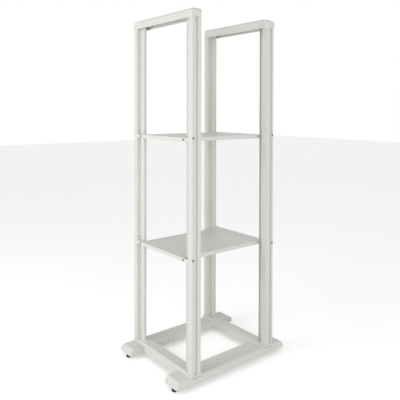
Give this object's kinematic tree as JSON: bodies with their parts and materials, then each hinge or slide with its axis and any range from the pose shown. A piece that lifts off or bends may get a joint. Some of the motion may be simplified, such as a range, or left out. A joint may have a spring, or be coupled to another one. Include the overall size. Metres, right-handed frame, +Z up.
{
  "type": "double two post open frame rack",
  "caption": "Open 19 inch rack of a front and a rear portal frame on a floor base with levelling feet, carrying perforated shelves.",
  "frame": {"origin": "centre of the footprint, on the floor", "axes": "+Z up, +X to the right seen from the front, -Y out of the front portal frame"},
  "size_m": [0.63, 0.8, 2.0829],
  "materials": {
    "powder_coat": "satin",
    "black_plastic": "matt",
    "zinc_steel": "satin"
  },
  "bodies": {
    "root": {"foot_left": "powder_coat", "foot_right": "powder_coat", "cross_member_front": "powder_coat", "cross_member_rear": "powder_coat", "post_front_left": "powder_coat", "post_front_right": "powder_coat", "post_rear_left": "powder_coat", "post_rear_right": "powder_coat", "top_cap_front": "powder_coat", "top_cap_rear": "powder_coat", "shelf_lower": "powder_coat", "shelf_upper": "powder_coat", "shelf_strip_lower_front": "powder_coat", "shelf_strip_lower_rear": "powder_coat", "shelf_strip_upper_front": "powder_coat", "shelf_strip_upper_rear": "powder_coat", "leveller_pad_front_left": "black_plastic", "leveller_pad_front_right": "black_plastic", "leveller_pad_rear_left": "black_plastic", "leveller_pad_rear_right": "black_plastic", "leveller_stud_front_left": "zinc_steel", "leveller_stud_front_right": "zinc_steel", "leveller_stud_rear_left": "zinc_steel", "leveller_stud_rear_right": "zinc_steel"}
  },
  "joints": []
}
